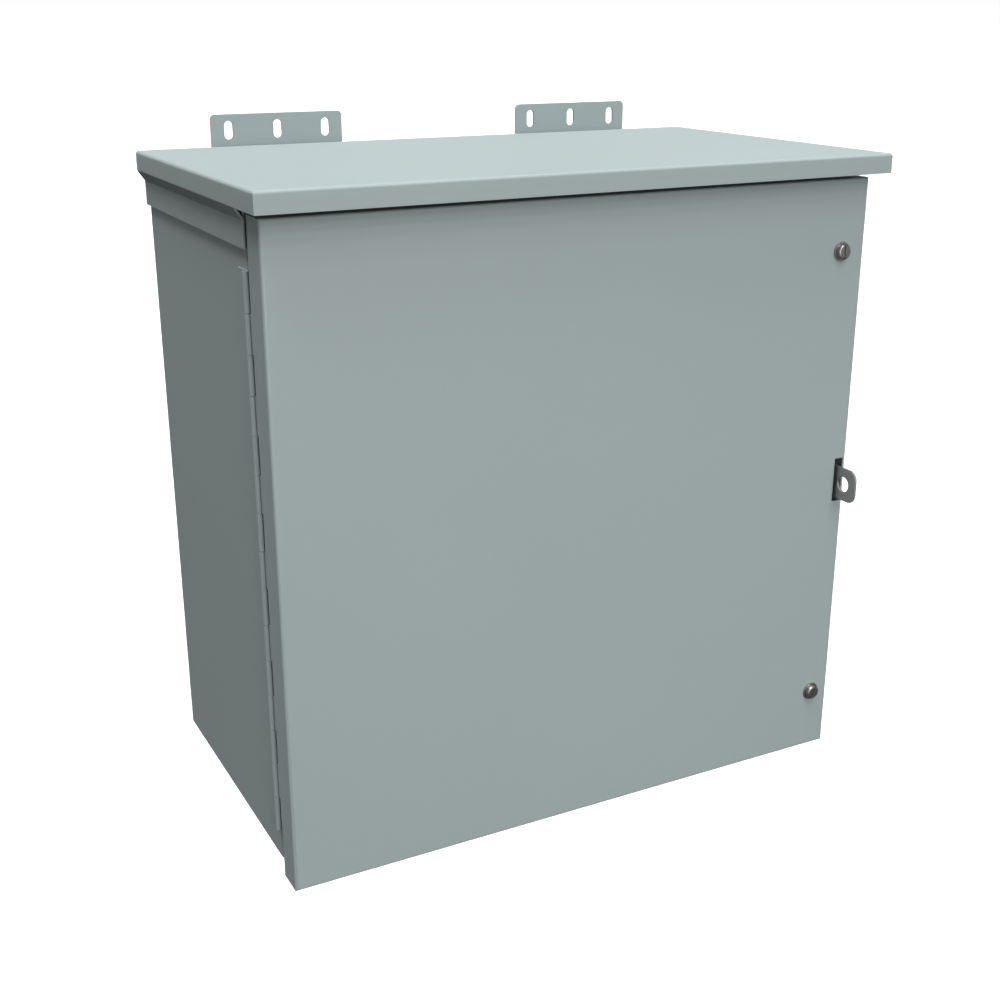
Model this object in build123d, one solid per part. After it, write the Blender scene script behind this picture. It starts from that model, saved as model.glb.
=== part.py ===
from build123d import *
import os

# Wall-mounted sheet-steel cabinet with a drip shield and a hinged cover.
# Millimetres. The origin is the centre of the back face, which lies on the wall.
# +Z is up, +Y points into the wall, the cover faces -Y, and +X is the cover's lock side.

# ---------------------------------------------------------------- driving dimensions

# Sheet metal
SHEET = 1.9                  # 14 gauge steel
BEND = 3.0                   # outer radius of every bend
INNER_BEND = BEND - SHEET

# Body
BODY_WIDTH = 609.6
BODY_HEIGHT = 609.6
BODY_DEPTH = 304.8
FRONT_FLANGE = 12.0          # in-turned flange on each side of the front
HEAD_FLANGE = 20.0           # down-turned flange above the opening
TOP_LAP = 36.8               # how far the top plate laps down each side
BOTTOM_LAP = 18.0            # how far the bottom plate laps up inside each side
CORNER_RELIEF = 1.5
DRAIN_RADIUS = 3.2
DRAIN_SETBACK = 50.0         # drain hole centre to the body's front and side

# Rain lip round the opening, and the return that carries the weld nuts
LIP_DEPTH = 24.3             # how far the lip stands in front of the body
RETURN_WIDTH = 24.0

# Cover
DOOR_OVERHANG = 1.5          # past the body, each side
DOOR_DROP = 14.0             # below the body
DOOR_TOP_SETDOWN = 12.8      # the cover's top edge below the body's top
DOOR_FLANGE = 30.4
DOOR_GAP = 6.9               # cover's flange edge to the body's front

# Drip shield
LID_OVERHANG_SIDE = 10.5
LID_OVERHANG_FRONT = 56.4
LID_RISE = 11.1              # top of the shield above the body's top
LID_SKIRT = 18.8
LID_BACK_SKIRT = 6.9
SLOPE_DROP = 10.1            # height of the inward slope under each side skirt
BAND_BOTTOM = 40.8           # bottom of the side band below the body's top
BAND_FRONT = 3.8             # how far slope and band stand in front of the body

# Mounting feet
FOOT_INSET = 65.3            # body's side to the foot's outer end
FOOT_WIDTH = 137.9
FOOT_THICK = 2.7
FOOT_RISE = 41.8             # above the body's top
FOOT_LEG = 30.0
FOOT_BEND = 4.0
FOOT_CORNER = 4.5
FOOT_SLOT_LENGTH = 17.9
FOOT_SLOT_WIDTH = 8.8
FOOT_SLOT_PITCH = 50.8
FOOT_SLOT_DROP = 15.4        # slot centre below the foot's free edge

# Continuous hinge, on the cover's left edge
HINGE_BELOW_TOP = 58.5       # body's top to the hinge's upper end
HINGE_ABOVE_BOTTOM = 33.0
HINGE_KNUCKLES = 15
HINGE_LEAF = 1.2
KNUCKLE_RADIUS = 2.6
KNUCKLE_GAP = 0.4
PIN_AHEAD = 0.3              # pin axis in front of the body's front face
PIN_CLEARANCE = 0.08
PIN_RECESS = 0.5
BODY_LEAF_WIDTH = 24.4       # from the pin axis
DOOR_LEAF_WIDTH = 28.9
LEAF_CUTBACK = 3.2           # pin axis to a leaf where the other leaf has a knuckle
JOGGLE_START = 3.3           # pin axis to the bend that carries the leaf inside the cover
JOGGLE_END = 5.6
LEAF_BEND = 0.8

# Captive cover screws, 1/4-20
UPPER_SCREW_INSET = 26.6     # body's side to the screw's axis
UPPER_SCREW_DROP = 81.9      # body's top to the screw's axis
LOWER_SCREW_INSET = 20.9
LOWER_SCREW_RISE = 51.7      # body's bottom to the screw's axis
UPPER_SLOT_ANGLE = 0.0       # driver slot, from vertical
LOWER_SLOT_ANGLE = 30.0
SCREW_RADIUS = 3.175
SCREW_HOLE_CLEARANCE = 0.375
HEAD_RADIUS = 7.5
HEAD_HEIGHT = 4.4
HEAD_ROUND = 2.0
DRIVER_SLOT_WIDTH = 1.6
DRIVER_SLOT_DEPTH = 1.9
WASHER_RADIUS = 9.3
WASHER_THICK = 1.6
SCREW_PAST_NUT = 0.1
SCREW_TIP_CHAMFER = 0.8
RETAINER_RADIUS = 5.5
RETAINER_THICK = 1.2
RETAINER_SETBACK = 7.4       # cover's inner face to the retainer, screw tightened
RETAINER_CLEARANCE = 0.02
WELD_NUT_FLATS = 11.1
WELD_NUT_HEIGHT = 5.0

# Padlock staple
STAPLE_THICK = 2.4
STAPLE_INSET = 9.4           # body's side to the plate's left face
STAPLE_REACH = 28.9          # past the cover's front face
STAPLE_HEIGHT = 34.5
STAPLE_CENTRE_Z = -15.6
STAPLE_FOOT = 6.4
STAPLE_CORNER = 10.0
PADLOCK_HOLE_RADIUS = 8.0
PADLOCK_HOLE_SETBACK = 18.0  # hole centre to the tip
STAPLE_SLOT_LEFT = 3.1       # clearance round the plate in the cover's slot
STAPLE_SLOT_RIGHT = 4.7
STAPLE_SLOT_BELOW = 4.25
STAPLE_SLOT_ABOVE = 7.85

# Inner mounting panel and its studs
PANEL_SIDE_MARGIN = 44.45    # body's side to the panel's edge
PANEL_END_MARGIN = 50.8
PANEL_FLANGE = 12.7
PANEL_STANDOFF = 19.0
STUD_INSET = 19.05           # panel's edges to the stud's axis
STUD_RADIUS = 4.76
STUD_COLLAR_RADIUS = 8.0
STUD_PAST_NUT = 5.0
PANEL_HOLE_CLEARANCE = 0.6
PANEL_WASHER_RADIUS = 11.0
PANEL_WASHER_THICK = 1.8
PANEL_NUT_FLATS = 14.3
PANEL_NUT_HEIGHT = 8.3
THREAD_CLEARANCE = 0.05

# Earth studs, one on the body's back and one on the cover
BODY_EARTH_INSET = 23.2      # body's right side to the stud's axis
BODY_EARTH_RISE = 64.8       # body's bottom to the stud's axis
DOOR_EARTH_INSET = 54.8      # body's left side to the stud's axis
DOOR_EARTH_RISE = 54.8
EARTH_RADIUS = 3.175
EARTH_BASE_RADIUS = 6.0
EARTH_BASE_THICK = 1.0
EARTH_LENGTH = 9.5
EARTH_WASHER_RADIUS = 7.0
EARTH_WASHER_THICK = 1.2
EARTH_NUT_FLATS = 11.1
EARTH_NUT_HEIGHT = 5.6

# ---------------------------------------------------------------- places worked out from them

side_x = BODY_WIDTH / 2
top_z = BODY_HEIGHT / 2
front_y = -BODY_DEPTH
lap_x = side_x + SHEET                                  # outside of the top plate's laps

opening_x = side_x - FRONT_FLANGE                       # outside of the rain lip
opening_top = top_z - HEAD_FLANGE
opening_bottom = -top_z + FRONT_FLANGE
return_front = front_y - LIP_DEPTH
return_back = return_front + SHEET
clear_x = opening_x - RETURN_WIDTH
clear_top = opening_top - RETURN_WIDTH
clear_bottom = opening_bottom + RETURN_WIDTH

door_x = side_x + DOOR_OVERHANG
door_top = top_z - DOOR_TOP_SETDOWN
door_bottom = -top_z - DOOR_DROP
door_back = front_y - DOOR_GAP
door_front = door_back - DOOR_FLANGE
door_inside = door_front + SHEET

lid_x = side_x + LID_OVERHANG_SIDE
lid_front = front_y - LID_OVERHANG_FRONT
lid_back = -FOOT_THICK                                  # rests against the feet
lid_top = top_z + LID_RISE
lid_bottom = lid_top - LID_SKIRT
band_x = lap_x + SHEET

foot_x = side_x - FOOT_INSET                            # a foot's outer end

pin_x = -side_x - KNUCKLE_RADIUS
pin_y = front_y - PIN_AHEAD
leaf_left = -side_x - HINGE_LEAF                        # left face of the body leaf
hinge_bottom = -top_z + HINGE_ABOVE_BOTTOM
hinge_top = top_z - HINGE_BELOW_TOP
hinge_middle = (hinge_bottom + hinge_top) / 2
knuckle_pitch = (hinge_top - hinge_bottom) / HINGE_KNUCKLES

upper_screw = (side_x - UPPER_SCREW_INSET, top_z - UPPER_SCREW_DROP)
lower_screw = (side_x - LOWER_SCREW_INSET, -top_z + LOWER_SCREW_RISE)
screw_seat = door_front - WASHER_THICK
screw_tip = return_back + WELD_NUT_HEIGHT + SCREW_PAST_NUT
retainer_front = door_inside + RETAINER_SETBACK

staple_x = side_x - STAPLE_INSET
staple_tip = door_front - STAPLE_REACH
staple_bottom = STAPLE_CENTRE_Z - STAPLE_HEIGHT / 2
staple_top = STAPLE_CENTRE_Z + STAPLE_HEIGHT / 2

back_inside = -SHEET
panel_back = back_inside - PANEL_STANDOFF
panel_front = panel_back - SHEET
panel_x = side_x - PANEL_SIDE_MARGIN
panel_z = top_z - PANEL_END_MARGIN
washer_back = panel_front
nut_back = washer_back - PANEL_WASHER_THICK
nut_front = nut_back - PANEL_NUT_HEIGHT
body_earth = (side_x - BODY_EARTH_INSET, -top_z + BODY_EARTH_RISE)
door_earth = (-side_x + DOOR_EARTH_INSET, -top_z + DOOR_EARTH_RISE)


# ---------------------------------------------------------------- shared shapes

def block(x0, x1, y0, y1, z0, z1):
    """A box between two opposite corners."""
    return Pos((x0 + x1) / 2, (y0 + y1) / 2, (z0 + z1) / 2) * Box(x1 - x0, y1 - y0, z1 - z0)


def bent_sheet(plane, outline, radii, thickness, start, end):
    """A strip bent along an outline of its outer face, with the metal to the outline's left."""
    face_line = FilletPolyline(*outline, radius=radii) if len(outline) > 2 else Polyline(*outline)
    section = make_face(offset(face_line, amount=thickness, side=Side.LEFT))
    return extrude(plane.offset(start) * section, amount=end - start)


def front_pan(x, z0, z1, y_front, y_back, radius):
    """A solid tray blank whose four front edges are bends."""
    blank = block(-x, x, y_front, y_back, z0, z1)
    return fillet(blank.faces().sort_by(Axis.Y)[0].edges(), radius)


def rod(x, y_front, y_back, z, radius):
    """A round bar along Y between two depths."""
    centre_y = (y_front + y_back) / 2
    return Pos(x, centre_y, z) * Rot(90, 0, 0) * Cylinder(radius, y_back - y_front)


def ring(x, y_front, y_back, z, outer, inner):
    """A washer that lies across Y."""
    return rod(x, y_front, y_back, z, outer) - rod(x, y_front, y_back, z, inner)


def hex_nut(x, y_front, y_back, z, flats, bore):
    """A hexagon nut along Y, two of its flats facing left and right."""
    section = Plane.XZ * Pos(x, z) * RegularPolygon(flats / 2, 6, major_radius=False, rotation=30)
    blank = extrude(section, amount=y_back - y_front)
    blank = Pos(0, y_back, 0) * blank
    return blank - rod(x, y_front, y_back, z, bore)


# ---------------------------------------------------------------- body

def body_wrap():
    """Back, both sides and the in-turned front flanges, relieved under the top plate's bends."""
    outline = [(-opening_x, front_y), (-side_x, front_y), (-side_x, 0),
               (side_x, 0), (side_x, front_y), (opening_x, front_y)]
    wrap = bent_sheet(Plane.XY, outline[::-1], BEND, SHEET, -top_z, top_z - SHEET)
    for low_x, high_x in ((-side_x, -side_x + INNER_BEND), (side_x - INNER_BEND, side_x)):
        wrap -= block(low_x, high_x, front_y, 0, top_z - BEND, top_z)
    return wrap


def top_plate():
    """Lies on the wrap, laps down outside both sides and turns down above the opening."""
    saddle_line = [(-lap_x, top_z - TOP_LAP), (-lap_x, top_z), (lap_x, top_z), (lap_x, top_z - TOP_LAP)]
    saddle = bent_sheet(Plane.XZ, saddle_line[::-1], BEND, SHEET, 0, BODY_DEPTH)
    saddle -= block(-opening_x, opening_x, front_y, front_y + BEND, top_z - BEND, top_z)
    head_line = [(front_y + 2 * BEND, top_z), (front_y, top_z), (front_y, opening_top)]
    head = bent_sheet(Plane.YZ, head_line, BEND, SHEET, -opening_x, opening_x)
    return saddle + head


def bottom_plate():
    """Lies inside the wrap, laps up both sides and turns up below the opening."""
    inner_x = side_x - SHEET
    lap_top = -top_z + BOTTOM_LAP
    tray_line = [(-inner_x, lap_top), (-inner_x, -top_z), (inner_x, -top_z), (inner_x, lap_top)]
    front_relief = BODY_DEPTH - SHEET - CORNER_RELIEF
    tray = bent_sheet(Plane.XZ, tray_line, BEND, SHEET, SHEET + CORNER_RELIEF, front_relief)
    sill_line = [(front_y, opening_bottom), (front_y, -top_z), (back_inside, -top_z)]
    sill = bent_sheet(Plane.YZ, sill_line, BEND, SHEET, -opening_x, opening_x)
    plate = tray + sill
    for x in (-side_x + DRAIN_SETBACK, side_x - DRAIN_SETBACK):
        plate -= Pos(x, front_y + DRAIN_SETBACK, -top_z) * Cylinder(DRAIN_RADIUS, 4 * SHEET)
    return plate


def opening_frame():
    """Rain lip round the opening, turned inwards at its front edge."""
    frame = front_pan(opening_x, opening_bottom, opening_top, return_front, front_y + SHEET, BEND)
    frame -= front_pan(opening_x - SHEET, opening_bottom + SHEET, opening_top - SHEET,
                       return_back, front_y + SHEET, INNER_BEND)
    frame -= block(-clear_x, clear_x, return_front, return_back, clear_bottom, clear_top)
    for x, z in (upper_screw, lower_screw):
        frame -= rod(x, return_front, return_back, z, SCREW_RADIUS + SCREW_HOLE_CLEARANCE)
    return frame


def drip_shield():
    """Flat top with skirts, and a slope and band down each side of the body."""
    def blank(inset, bottom, radius):
        tray = block(-lid_x + inset, lid_x - inset, lid_front + inset, lid_back - inset,
                     bottom, lid_top - inset)
        return fillet(tray.faces().sort_by(Axis.Z)[-1].edges(), radius)

    shield = blank(0, lid_bottom, BEND) - blank(SHEET, lid_bottom, INNER_BEND)
    shield -= block(-lid_x + SHEET, lid_x - SHEET, lid_back - SHEET, lid_back,
                    lid_bottom, lid_top - LID_BACK_SKIRT)
    side_line = [(-lid_x, lid_bottom + 2 * BEND), (-lid_x, lid_bottom),
                 (-band_x, lid_bottom - SLOPE_DROP), (-band_x, top_z - BAND_BOTTOM)]
    left_side = bent_sheet(Plane.XZ, side_line, [BEND, INNER_BEND], SHEET,
                           -lid_back, BODY_DEPTH + BAND_FRONT)
    return shield + left_side + mirror(left_side, about=Plane.YZ)


def foot(left, upper):
    """An angle bracket welded on the body, with three upright slots in its standing leg."""
    x0 = -foot_x if left else foot_x - FOOT_WIDTH
    x1 = x0 + FOOT_WIDTH
    free_edge = top_z + FOOT_RISE
    outline = [(0, free_edge), (0, top_z), (-FOOT_LEG, top_z)]
    bracket = bent_sheet(Plane.YZ, outline[::-1], FOOT_BEND, FOOT_THICK, x0, x1)
    free_corners = bracket.edges().filter_by(Axis.Y).group_by(Axis.Z)[-1]
    bracket = fillet(free_corners, FOOT_CORNER)
    for step in (-1, 0, 1):
        slot = Plane.XZ * Pos((x0 + x1) / 2 + step * FOOT_SLOT_PITCH, free_edge - FOOT_SLOT_DROP) \
            * SlotOverall(FOOT_SLOT_LENGTH, FOOT_SLOT_WIDTH, rotation=90)
        bracket -= extrude(slot, amount=FOOT_THICK)
    return bracket if upper else mirror(bracket, about=Plane.XY)


# ---------------------------------------------------------------- hinge

def knuckle_span(index):
    """Lower and upper end of one knuckle."""
    low = hinge_bottom + index * knuckle_pitch + KNUCKLE_GAP / 2
    return low, low + knuckle_pitch - KNUCKLE_GAP


def hinge_leaf(outline, first_knuckle, cut_from, cut_to):
    """One leaf with its knuckles, cut back where the other leaf's knuckles run."""
    leaf_bottom = knuckle_span(0)[0]
    leaf_top = knuckle_span(HINGE_KNUCKLES - 1)[1]
    leaf = bent_sheet(Plane.XY, outline, LEAF_BEND, HINGE_LEAF, leaf_bottom, leaf_top)
    leaf -= block(pin_x, -side_x + HINGE_LEAF, cut_from, cut_to, hinge_bottom, hinge_top)
    for index in range(first_knuckle, HINGE_KNUCKLES, 2):
        low, high = knuckle_span(index)
        tab = bent_sheet(Plane.XY, outline, LEAF_BEND, HINGE_LEAF, low, high)
        barrel = Pos(pin_x, pin_y, (low + high) / 2) * Cylinder(KNUCKLE_RADIUS, high - low)
        leaf += tab + barrel
    bore = KNUCKLE_RADIUS - HINGE_LEAF
    return leaf - Pos(pin_x, pin_y, hinge_middle) * Cylinder(bore, hinge_top - hinge_bottom)


def hinge_body_leaf():
    """Welded on the outside of the body's left side."""
    outline = [(leaf_left, pin_y + BODY_LEAF_WIDTH), (leaf_left, pin_y)]
    return hinge_leaf(outline, 0, pin_y, pin_y + LEAF_CUTBACK)


def hinge_door_leaf():
    """Steps inside the cover's left flange and is welded to it."""
    flange_inside = -door_x + SHEET
    outline = [(leaf_left, pin_y), (leaf_left, pin_y - JOGGLE_START),
               (flange_inside, pin_y - JOGGLE_END), (flange_inside, pin_y - DOOR_LEAF_WIDTH)]
    return hinge_leaf(outline, 1, pin_y - LEAF_CUTBACK, pin_y)


def hinge_pin():
    length = hinge_top - hinge_bottom - 2 * PIN_RECESS
    radius = KNUCKLE_RADIUS - HINGE_LEAF - PIN_CLEARANCE
    return Pos(pin_x, pin_y, hinge_middle) * Cylinder(radius, length)


# ---------------------------------------------------------------- cover and fasteners

def door_panel():
    """Shallow tray with flanges on all four edges."""
    panel = front_pan(door_x, door_bottom, door_top, door_front, door_back, BEND)
    panel -= front_pan(door_x - SHEET, door_bottom + SHEET, door_top - SHEET,
                       door_inside, door_back, INNER_BEND)
    for x, z in (upper_screw, lower_screw):
        panel -= rod(x, door_front, door_inside, z, SCREW_RADIUS + SCREW_HOLE_CLEARANCE)
    slot_left = staple_x - STAPLE_SLOT_LEFT
    slot_right = staple_x + STAPLE_THICK + STAPLE_SLOT_RIGHT
    return panel - block(slot_left, slot_right, door_front, door_inside,
                         staple_bottom - STAPLE_SLOT_BELOW, staple_top + STAPLE_SLOT_ABOVE)


def padlock_staple():
    """Plate on the body's front flange that reaches out through the cover's slot."""
    outline = [(staple_x + STAPLE_FOOT, front_y), (staple_x, front_y), (staple_x, staple_tip)]
    staple = bent_sheet(Plane.XY, outline, BEND, STAPLE_THICK, staple_bottom, staple_top)
    tip_corners = staple.edges().filter_by(Axis.X).group_by(Axis.Y)[0]
    staple = fillet(tip_corners, STAPLE_CORNER)
    hole = Pos(staple_x, staple_tip + PADLOCK_HOLE_SETBACK, STAPLE_CENTRE_Z) * Rot(0, 90, 0)
    return staple - hole * Cylinder(PADLOCK_HOLE_RADIUS, 4 * STAPLE_THICK)


def weld_nut(place):
    x, z = place
    return hex_nut(x, return_back, return_back + WELD_NUT_HEIGHT, z, WELD_NUT_FLATS,
                   SCREW_RADIUS + SCREW_HOLE_CLEARANCE)


def cover_screw(place, slot_angle):
    """Slotted pan-head screw, tightened."""
    x, z = place
    head_front = screw_seat - HEAD_HEIGHT
    head = rod(x, head_front, screw_seat, z, HEAD_RADIUS)
    head = fillet(head.edges().sort_by(Axis.Y)[0], HEAD_ROUND)
    driver_slot = Pos(x, head_front + DRIVER_SLOT_DEPTH / 2, z) * Rot(0, slot_angle, 0) \
        * Box(DRIVER_SLOT_WIDTH, DRIVER_SLOT_DEPTH, 3 * HEAD_RADIUS)
    shank = rod(x, screw_seat, screw_tip, z, SCREW_RADIUS)
    shank = chamfer(shank.edges().sort_by(Axis.Y)[-1], SCREW_TIP_CHAMFER)
    return head - driver_slot + shank


def screw_washer(place):
    x, z = place
    return ring(x, screw_seat, door_front, z, WASHER_RADIUS, SCREW_RADIUS + SCREW_HOLE_CLEARANCE)


def screw_retainer(place):
    """Ring pressed on the shank behind the cover, which keeps the screw captive."""
    x, z = place
    return ring(x, retainer_front, retainer_front + RETAINER_THICK, z, RETAINER_RADIUS,
                SCREW_RADIUS + RETAINER_CLEARANCE)


# ---------------------------------------------------------------- inner panel and earthing

stud_x = panel_x - STUD_INSET
stud_z = panel_z - STUD_INSET
stud_places = [(x, z) for x in (-stud_x, stud_x) for z in (-stud_z, stud_z)]


def inner_panel():
    """Removable mounting panel, its two upright edges turned back."""
    outline = [(panel_x, panel_front + PANEL_FLANGE), (panel_x, panel_front),
               (-panel_x, panel_front), (-panel_x, panel_front + PANEL_FLANGE)]
    panel = bent_sheet(Plane.XY, outline[::-1], BEND, SHEET, -panel_z, panel_z)
    for x, z in stud_places:
        panel -= rod(x, panel_front, panel_back, z, STUD_RADIUS + PANEL_HOLE_CLEARANCE)
    return panel


def panel_stud(x, z):
    """Collar stud welded on the back."""
    collar = rod(x, panel_back, back_inside, z, STUD_COLLAR_RADIUS)
    return collar + rod(x, nut_front - STUD_PAST_NUT, panel_back, z, STUD_RADIUS)


def panel_washer(x, z):
    return ring(x, nut_back, washer_back, z, PANEL_WASHER_RADIUS, STUD_RADIUS + PANEL_HOLE_CLEARANCE)


def panel_nut(x, z):
    return hex_nut(x, nut_front, nut_back, z, PANEL_NUT_FLATS, STUD_RADIUS + THREAD_CLEARANCE)


def earth_set(place, seat, facing):
    """Stud, washer and nut that stand on a seat at depth seat, facing -1 or +1 along Y."""
    x, z = place

    def span(near, far):
        return sorted((seat + facing * near, seat + facing * far))

    washer_far = EARTH_BASE_THICK + EARTH_WASHER_THICK
    stud = rod(x, *span(0, EARTH_BASE_THICK), z, EARTH_BASE_RADIUS)
    stud += rod(x, *span(0, EARTH_LENGTH), z, EARTH_RADIUS)
    bore = EARTH_RADIUS + THREAD_CLEARANCE
    washer = ring(x, *span(EARTH_BASE_THICK, washer_far), z, EARTH_WASHER_RADIUS, bore)
    nut = hex_nut(x, *span(washer_far, washer_far + EARTH_NUT_HEIGHT), z, EARTH_NUT_FLATS, bore)
    return stud, washer, nut


# ---------------------------------------------------------------- every node

nodes = {
    "body_wrap": body_wrap(),
    "top_plate": top_plate(),
    "bottom_plate": bottom_plate(),
    "opening_frame": opening_frame(),
    "drip_shield": drip_shield(),
    "hinge_body_leaf": hinge_body_leaf(),
    "hinge_door_leaf": hinge_door_leaf(),
    "hinge_pin": hinge_pin(),
    "door_panel": door_panel(),
    "padlock_staple": padlock_staple(),
    "inner_panel": inner_panel(),
    "panel_studs": Compound(children=[panel_stud(x, z) for x, z in stud_places]),
    "panel_washers": Compound(children=[panel_washer(x, z) for x, z in stud_places]),
    "panel_nuts": Compound(children=[panel_nut(x, z) for x, z in stud_places]),
}

for level, upper in (("top", True), ("bottom", False)):
    for side, left in (("left", True), ("right", False)):
        nodes[f"{level}_{side}_foot"] = foot(left, upper)

for level, place, slot_angle in (("upper", upper_screw, UPPER_SLOT_ANGLE),
                                 ("lower", lower_screw, LOWER_SLOT_ANGLE)):
    nodes[f"{level}_cover_screw"] = cover_screw(place, slot_angle)
    nodes[f"{level}_screw_washer"] = screw_washer(place)
    nodes[f"{level}_screw_retainer"] = screw_retainer(place)
    nodes[f"{level}_weld_nut"] = weld_nut(place)

for owner, place, seat, facing in (("body", body_earth, back_inside, -1),
                                   ("door", door_earth, door_inside, 1)):
    stud, washer, nut = earth_set(place, seat, facing)
    nodes[f"{owner}_earth_stud"] = stud
    nodes[f"{owner}_earth_washer"] = washer
    nodes[f"{owner}_earth_nut"] = nut

os.makedirs("parts", exist_ok=True)
for name, shape in nodes.items():
    export_step(shape, f"parts/{name}.step")
    print(name, round(shape.volume, 1))
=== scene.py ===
# %% [markdown]
# # A wall-mounted switchboard cabinet
#
# The real thing is a box of folded steel sheet with a hood that sheds rain, a cover on a
# continuous hinge, two captive screws and a staple for a padlock. Almost nothing in it is
# solid: a sheet-metal shop cuts flat blanks and bends them. This lesson follows that shop.
# Each sheet starts as a plain box or plane, loses the faces that are open in the real
# part, has its folds rounded, and only then gets its wall thickness.
#
# The engineering model is loaded first. It fixes every size and place, so all the work
# here reads its corners from the frame instead of guessing them.

from math import atan2, cos, hypot, pi, radians, sin, tan

import bmesh
import bpy
from mathutils import Matrix, Vector


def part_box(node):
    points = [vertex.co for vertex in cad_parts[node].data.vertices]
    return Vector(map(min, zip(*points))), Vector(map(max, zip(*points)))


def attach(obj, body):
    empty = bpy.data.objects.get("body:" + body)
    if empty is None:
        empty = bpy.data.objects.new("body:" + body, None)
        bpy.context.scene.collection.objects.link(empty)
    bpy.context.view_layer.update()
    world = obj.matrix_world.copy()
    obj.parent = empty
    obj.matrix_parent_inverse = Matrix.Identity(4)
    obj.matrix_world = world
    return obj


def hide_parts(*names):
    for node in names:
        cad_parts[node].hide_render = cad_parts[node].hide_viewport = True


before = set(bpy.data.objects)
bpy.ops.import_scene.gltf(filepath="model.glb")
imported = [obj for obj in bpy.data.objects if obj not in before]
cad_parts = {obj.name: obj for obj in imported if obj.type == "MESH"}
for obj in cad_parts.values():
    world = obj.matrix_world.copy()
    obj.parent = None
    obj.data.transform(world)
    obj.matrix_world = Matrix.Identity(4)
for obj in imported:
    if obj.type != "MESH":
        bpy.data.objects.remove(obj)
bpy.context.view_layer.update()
MM = 0.001
print("nodes in the frame:", len(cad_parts))

# %% [markdown]
# ## Colour, camera and light
#
# The cabinet hangs on a wall, and a buyer sees it from a little above and to the left.
# A normal lens from that near makes the upright edges draw together towards the floor.
# The Standard view keeps paint colours as they are typed, where a film-like view would
# grey them.

# %% Camera
CAMERA_PLACE = Vector((-0.6434, -1.3891, 0.4447))
CAMERA_AZIMUTH = radians(27.62)
CAMERA_ELEVATION = radians(-19.42)
LENS = 50.15

bpy.context.scene.view_settings.view_transform = "Standard"
bpy.ops.object.camera_add(location=CAMERA_PLACE)
camera = bpy.context.object
camera.name = "camera"
camera.data.lens = LENS
camera.data.sensor_width = 36
looking = Vector((sin(CAMERA_AZIMUTH) * cos(CAMERA_ELEVATION),
                  cos(CAMERA_AZIMUTH) * cos(CAMERA_ELEVATION), sin(CAMERA_ELEVATION)))
camera.rotation_euler = looking.to_track_quat("-Z", "Y").to_euler()
bpy.context.scene.camera = camera

# %% [markdown]
# The studio is a pale sky, one wide sun over the left side and two tall strip lights in
# front. Each strip is four soft suns stacked one above the other. Because they spread
# over a tall arc, the hood throws a shadow that fades down the cover, and each screw
# head throws a pair of soft streaks. A sun is used instead of a lamp close
# by because its light is the same all over a flat cover. One square panel in front fills
# the rest, and a weak wide sun behind keeps the right side and the back from going flat.
# That one is kept out of reflections, or the hood's top would mirror it.

# %% Studio light
STRIP_AZIMUTH = 9            # degrees to each side of straight ahead
STRIP_LOWEST = 30            # degrees up
STRIP_STEP = 12
STRIP_SUNS = 4
STRIP_STRENGTH = 0.24
STRIP_SPREAD = 7             # degrees, the width of each sun


def sun(name, azimuth, elevation, strength, spread):
    """A soft sun, with its angles in degrees. Azimuth 0 is straight in front, 90 the right."""
    a, e = radians(azimuth), radians(elevation)
    towards = Vector((sin(a) * cos(e), -cos(a) * cos(e), sin(e)))
    bpy.ops.object.light_add(type="SUN", location=towards * 3)
    lamp = bpy.context.object
    lamp.name = name
    lamp.rotation_euler = towards.to_track_quat("Z", "Y").to_euler()
    lamp.data.energy = strength
    lamp.data.angle = radians(spread)
    return lamp


def softbox(name, place, aim, size, power):
    """A square panel of light that faces a point."""
    place, aim = Vector(place), Vector(aim)
    bpy.ops.object.light_add(type="AREA", location=place)
    lamp = bpy.context.object
    lamp.name = name
    lamp.rotation_euler = (place - aim).to_track_quat("Z", "Y").to_euler()
    lamp.data.size = size
    lamp.data.energy = power


sun("side_light", -90, 77, 4.0, 30)
sun("back_fill", 130, 22, 0.9, 40).visible_glossy = False
for side, azimuth in (("left", -STRIP_AZIMUTH), ("right", STRIP_AZIMUTH)):
    for step in range(STRIP_SUNS):
        sun(f"{side}_strip_{step + 1}", azimuth, STRIP_LOWEST + STRIP_STEP * step,
            STRIP_STRENGTH, STRIP_SPREAD)
softbox("front_panel", (0.1, -2.1, 0.05), (0, 0, -0.05), 1.7, 15.5)

# %% [markdown]
# ## Talking to shader nodes in plain arithmetic
#
# Node trees get long when each Math node takes four lines. This small class wraps a
# socket so that `a * 2 + b` builds the Math nodes itself. Everything that isn't
# arithmetic goes through its one `node` method.

# %% Shader arithmetic
class Wire:
    """A socket in a node tree. Arithmetic on it adds Math nodes, and node() adds any other."""

    def __init__(self, tree, socket=None):
        self.tree = tree
        self.socket = socket

    def node(self, kind, inputs=None, out=0, stops=None, **settings):
        """Adds a node: its settings first, then a ramp's stops, then values or links."""
        made = self.tree.nodes.new(kind)
        for key, value in settings.items():
            setattr(made, key, value)
        if stops:
            while len(made.color_ramp.elements) < len(stops):
                made.color_ramp.elements.new(0.5)
            for element, (position, level) in zip(made.color_ramp.elements, stops):
                element.position = position
                element.color = (level, level, level, 1)
        for key, value in (inputs or {}).items():
            if isinstance(value, Wire):
                self.tree.links.new(value.socket, made.inputs[key])
            else:
                made.inputs[key].default_value = value
        return Wire(self.tree, made.outputs[out] if made.outputs else None)

    def math(self, operation, a, b):
        return self.node("ShaderNodeMath", {0: a, 1: b}, operation=operation)

    def __add__(self, other):
        return self.math("ADD", self, other)

    __radd__ = __add__

    def __sub__(self, other):
        return self.math("SUBTRACT", self, other)

    def __rsub__(self, other):
        return self.math("SUBTRACT", other, self)

    def __mul__(self, other):
        return self.math("MULTIPLY", self, other)

    __rmul__ = __mul__


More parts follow.
